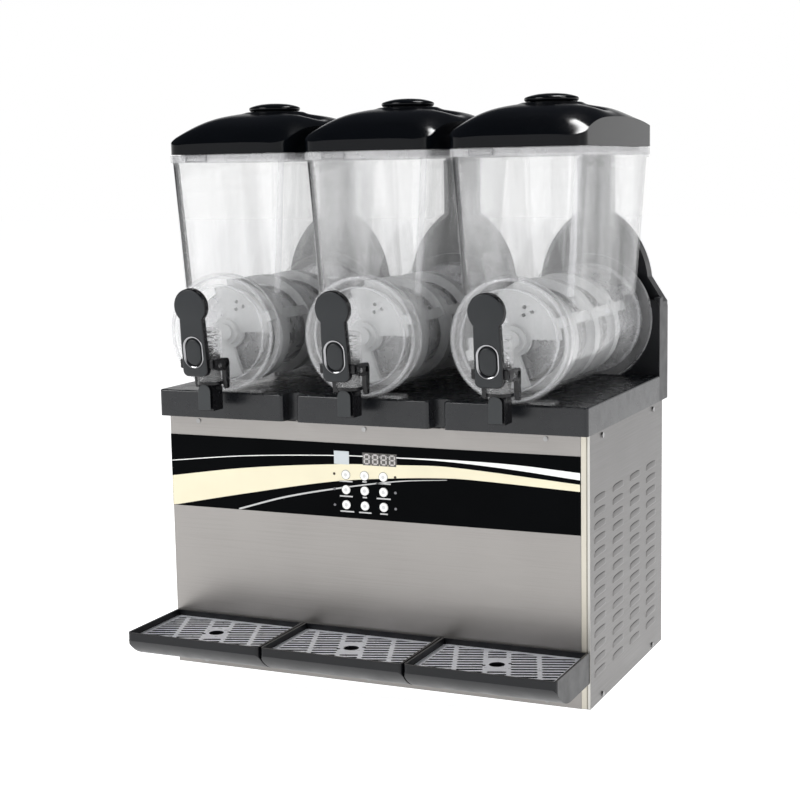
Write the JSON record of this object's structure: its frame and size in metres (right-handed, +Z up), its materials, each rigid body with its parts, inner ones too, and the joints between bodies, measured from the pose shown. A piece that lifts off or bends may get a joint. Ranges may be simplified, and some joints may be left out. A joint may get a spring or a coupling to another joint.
{
  "type": "slush machine",
  "caption": "Counter-top frozen drink machine: stainless cabinet with clear bowls, gloss black lids, lever taps, drip trays and a key pad on a black front band.",
  "frame": {"origin": "under the middle of the machine's footprint, on the surface its feet stand on", "axes": "+Z up, -Y towards the user, where the taps and trays are, +X to the user's right"},
  "size_m": [0.607, 0.475, 0.7764],
  "materials": {
    "brushed_stainless": "brushed, vertical grain",
    "galvanised_steel": "galvanised",
    "black_rubber": "matt",
    "gasket_rubber": "matt",
    "screw_steel": "bright",
    "overlay_black": "gloss film",
    "display_window": "gloss window",
    "black_plastic": "satin moulded",
    "gloss_black": "high gloss",
    "drum_steel": "polished",
    "motor_grey": "painted",
    "compressor_black": "painted",
    "fin_aluminium": "fins",
    "fan_grey": "satin",
    "button_white": "satin",
    "clear_polycarbonate": "clear",
    "auger_white": "satin white",
    "lever_black": "fine texture",
    "grille_steel": "satin"
  },
  "bodies": {
    "cabinet": {"base_pan": "galvanised_steel", "feet": "black_rubber", "front_panel": "brushed_stainless", "side_panel_left": "brushed_stainless", "side_panel_right": "brushed_stainless", "rear_panel": "brushed_stainless", "panel_screws": "screw_steel", "control_overlay": "overlay_black", "display_board": "display_window", "deck": "black_plastic", "rear_housing": "black_plastic", "evaporators": "drum_steel", "gear_motors": "motor_grey", "bowl_gaskets": "gasket_rubber", "compressor": "compressor_black", "condenser": "fin_aluminium", "cable_gland": "black_plastic"},
    "fan": {"fan": "fan_grey"},
    "button_1": {"button_1": "button_white"},
    "button_2": {"button_2": "button_white"},
    "button_3": {"button_3": "button_white"},
    "button_4": {"button_4": "button_white"},
    "button_5": {"button_5": "button_white"},
    "button_6": {"button_6": "button_white"},
    "button_7": {"button_7": "button_white"},
    "button_8": {"button_8": "button_white"},
    "button_9": {"button_9": "button_white"},
    "bowl_left": {"bowl_left": "clear_polycarbonate", "spout_left": "black_plastic"},
    "lid_left": {"lid_left": "gloss_black"},
    "filler_cap_left": {"filler_cap_left": "gloss_black"},
    "auger_left": {"auger_left": "auger_white", "drive_shaft_left": "drum_steel"},
    "tap_lever_left": {"tap_lever_left": "lever_black"},
    "tap_piston_left": {"tap_piston_left": "auger_white", "tap_spring_left": "screw_steel"},
    "drip_tray_left": {"drip_tray_left": "black_plastic"},
    "drip_grille_left": {"drip_grille_left": "grille_steel"},
    "bowl_middle": {"bowl_middle": "clear_polycarbonate", "spout_middle": "black_plastic"},
    "lid_middle": {"lid_middle": "gloss_black"},
    "filler_cap_middle": {"filler_cap_middle": "gloss_black"},
    "auger_middle": {"auger_middle": "auger_white", "drive_shaft_middle": "drum_steel"},
    "tap_lever_middle": {"tap_lever_middle": "lever_black"},
    "tap_piston_middle": {"tap_piston_middle": "auger_white", "tap_spring_middle": "screw_steel"},
    "drip_tray_middle": {"drip_tray_middle": "black_plastic"},
    "drip_grille_middle": {"drip_grille_middle": "grille_steel"},
    "bowl_right": {"bowl_right": "clear_polycarbonate", "spout_right": "black_plastic"},
    "lid_right": {"lid_right": "gloss_black"},
    "filler_cap_right": {"filler_cap_right": "gloss_black"},
    "auger_right": {"auger_right": "auger_white", "drive_shaft_right": "drum_steel"},
    "tap_lever_right": {"tap_lever_right": "lever_black"},
    "tap_piston_right": {"tap_piston_right": "auger_white", "tap_spring_right": "screw_steel"},
    "drip_tray_right": {"drip_tray_right": "black_plastic"},
    "drip_grille_right": {"drip_grille_right": "grille_steel"}
  },
  "joints": [
    {"name": "fan_spin", "type": "hinge", "parent": "cabinet", "child": "fan", "pos_m": [0.24, 0.0405, 0.126], "axis": [1, 0, 0], "continuous": true},
    {"name": "button_1_press", "type": "slide", "parent": "cabinet", "child": "button_1", "axis": [0, 1, 0], "range_m": [0, 0.0008], "stiffness_N_per_m": 400, "springref_m": -0.001},
    {"name": "button_2_press", "type": "slide", "parent": "cabinet", "child": "button_2", "axis": [0, 1, 0], "range_m": [0, 0.0008], "stiffness_N_per_m": 400, "springref_m": -0.001},
    {"name": "button_3_press", "type": "slide", "parent": "cabinet", "child": "button_3", "axis": [0, 1, 0], "range_m": [0, 0.0008], "stiffness_N_per_m": 400, "springref_m": -0.001},
    {"name": "button_4_press", "type": "slide", "parent": "cabinet", "child": "button_4", "axis": [0, 1, 0], "range_m": [0, 0.0008], "stiffness_N_per_m": 400, "springref_m": -0.001},
    {"name": "button_5_press", "type": "slide", "parent": "cabinet", "child": "button_5", "axis": [0, 1, 0], "range_m": [0, 0.0008], "stiffness_N_per_m": 400, "springref_m": -0.001},
    {"name": "button_6_press", "type": "slide", "parent": "cabinet", "child": "button_6", "axis": [0, 1, 0], "range_m": [0, 0.0008], "stiffness_N_per_m": 400, "springref_m": -0.001},
    {"name": "button_7_press", "type": "slide", "parent": "cabinet", "child": "button_7", "axis": [0, 1, 0], "range_m": [0, 0.0008], "stiffness_N_per_m": 400, "springref_m": -0.001},
    {"name": "button_8_press", "type": "slide", "parent": "cabinet", "child": "button_8", "axis": [0, 1, 0], "range_m": [0, 0.0008], "stiffness_N_per_m": 400, "springref_m": -0.001},
    {"name": "button_9_press", "type": "slide", "parent": "cabinet", "child": "button_9", "axis": [0, 1, 0], "range_m": [0, 0.0008], "stiffness_N_per_m": 400, "springref_m": -0.001},
    {"name": "bowl_left_slide", "type": "slide", "parent": "cabinet", "child": "bowl_left", "axis": [0, -1, 0], "range_m": [0, 0.33]},
    {"name": "lid_left_lift", "type": "slide", "parent": "bowl_left", "child": "lid_left", "axis": [0, 0, 1], "range_m": [0, 0.12]},
    {"name": "filler_cap_left_lift", "type": "slide", "parent": "lid_left", "child": "filler_cap_left", "axis": [0, 0, 1], "range_m": [0, 0.06]},
    {"name": "auger_left_spin", "type": "hinge", "parent": "cabinet", "child": "auger_left", "pos_m": [-0.203, 0, 0.472], "axis": [0, 1, 0], "continuous": true},
    {"name": "tap_lever_left_pull", "type": "hinge", "parent": "bowl_left", "child": "tap_lever_left", "pos_m": [-0.203, -0.1775, 0.435], "axis": [1, 0, 0], "range_deg": [0, 30], "stiffness_Nm_per_rad": 0.5, "springref_deg": -14.32},
    {"name": "tap_piston_left_lift", "type": "slide", "parent": "bowl_left", "child": "tap_piston_left", "axis": [0, 0, 1], "range_m": [0, 0.0086], "deforming": ["tap_spring_left"]},
    {"name": "drip_tray_left_slide", "type": "slide", "parent": "cabinet", "child": "drip_tray_left", "axis": [0, -1, 0], "range_m": [0, 0.15]},
    {"name": "drip_grille_left_lift", "type": "slide", "parent": "drip_tray_left", "child": "drip_grille_left", "axis": [0, 0, 1], "range_m": [0, 0.06]},
    {"name": "bowl_middle_slide", "type": "slide", "parent": "cabinet", "child": "bowl_middle", "axis": [0, -1, 0], "range_m": [0, 0.33]},
    {"name": "lid_middle_lift", "type": "slide", "parent": "bowl_middle", "child": "lid_middle", "axis": [0, 0, 1], "range_m": [0, 0.12]},
    {"name": "filler_cap_middle_lift", "type": "slide", "parent": "lid_middle", "child": "filler_cap_middle", "axis": [0, 0, 1], "range_m": [0, 0.06]},
    {"name": "auger_middle_spin", "type": "hinge", "parent": "cabinet", "child": "auger_middle", "pos_m": [0, 0, 0.472], "axis": [0, 1, 0], "continuous": true},
    {"name": "tap_lever_middle_pull", "type": "hinge", "parent": "bowl_middle", "child": "tap_lever_middle", "pos_m": [0, -0.1775, 0.435], "axis": [1, 0, 0], "range_deg": [0, 30], "stiffness_Nm_per_rad": 0.5, "springref_deg": -14.32},
    {"name": "tap_piston_middle_lift", "type": "slide", "parent": "bowl_middle", "child": "tap_piston_middle", "axis": [0, 0, 1], "range_m": [0, 0.0086], "deforming": ["tap_spring_middle"]},
    {"name": "drip_tray_middle_slide", "type": "slide", "parent": "cabinet", "child": "drip_tray_middle", "axis": [0, -1, 0], "range_m": [0, 0.15]},
    {"name": "drip_grille_middle_lift", "type": "slide", "parent": "drip_tray_middle", "child": "drip_grille_middle", "axis": [0, 0, 1], "range_m": [0, 0.06]},
    {"name": "bowl_right_slide", "type": "slide", "parent": "cabinet", "child": "bowl_right", "axis": [0, -1, 0], "range_m": [0, 0.33]},
    {"name": "lid_right_lift", "type": "slide", "parent": "bowl_right", "child": "lid_right", "axis": [0, 0, 1], "range_m": [0, 0.12]},
    {"name": "filler_cap_right_lift", "type": "slide", "parent": "lid_right", "child": "filler_cap_right", "axis": [0, 0, 1], "range_m": [0, 0.06]},
    {"name": "auger_right_spin", "type": "hinge", "parent": "cabinet", "child": "auger_right", "pos_m": [0.203, 0, 0.472], "axis": [0, 1, 0], "continuous": true},
    {"name": "tap_lever_right_pull", "type": "hinge", "parent": "bowl_right", "child": "tap_lever_right", "pos_m": [0.203, -0.1775, 0.435], "axis": [1, 0, 0], "range_deg": [0, 30], "stiffness_Nm_per_rad": 0.5, "springref_deg": -14.32},
    {"name": "tap_piston_right_lift", "type": "slide", "parent": "bowl_right", "child": "tap_piston_right", "axis": [0, 0, 1], "range_m": [0, 0.0086], "deforming": ["tap_spring_right"]},
    {"name": "drip_tray_right_slide", "type": "slide", "parent": "cabinet", "child": "drip_tray_right", "axis": [0, -1, 0], "range_m": [0, 0.15]},
    {"name": "drip_grille_right_lift", "type": "slide", "parent": "drip_tray_right", "child": "drip_grille_right", "axis": [0, 0, 1], "range_m": [0, 0.06]}
  ],
  "couplings": [
    {"joint": "tap_piston_left_lift", "follows": "tap_lever_left_pull", "m_per_rad": 0.016},
    {"joint": "tap_piston_middle_lift", "follows": "tap_lever_middle_pull", "m_per_rad": 0.016},
    {"joint": "tap_piston_right_lift", "follows": "tap_lever_right_pull", "m_per_rad": 0.016}
  ]
}
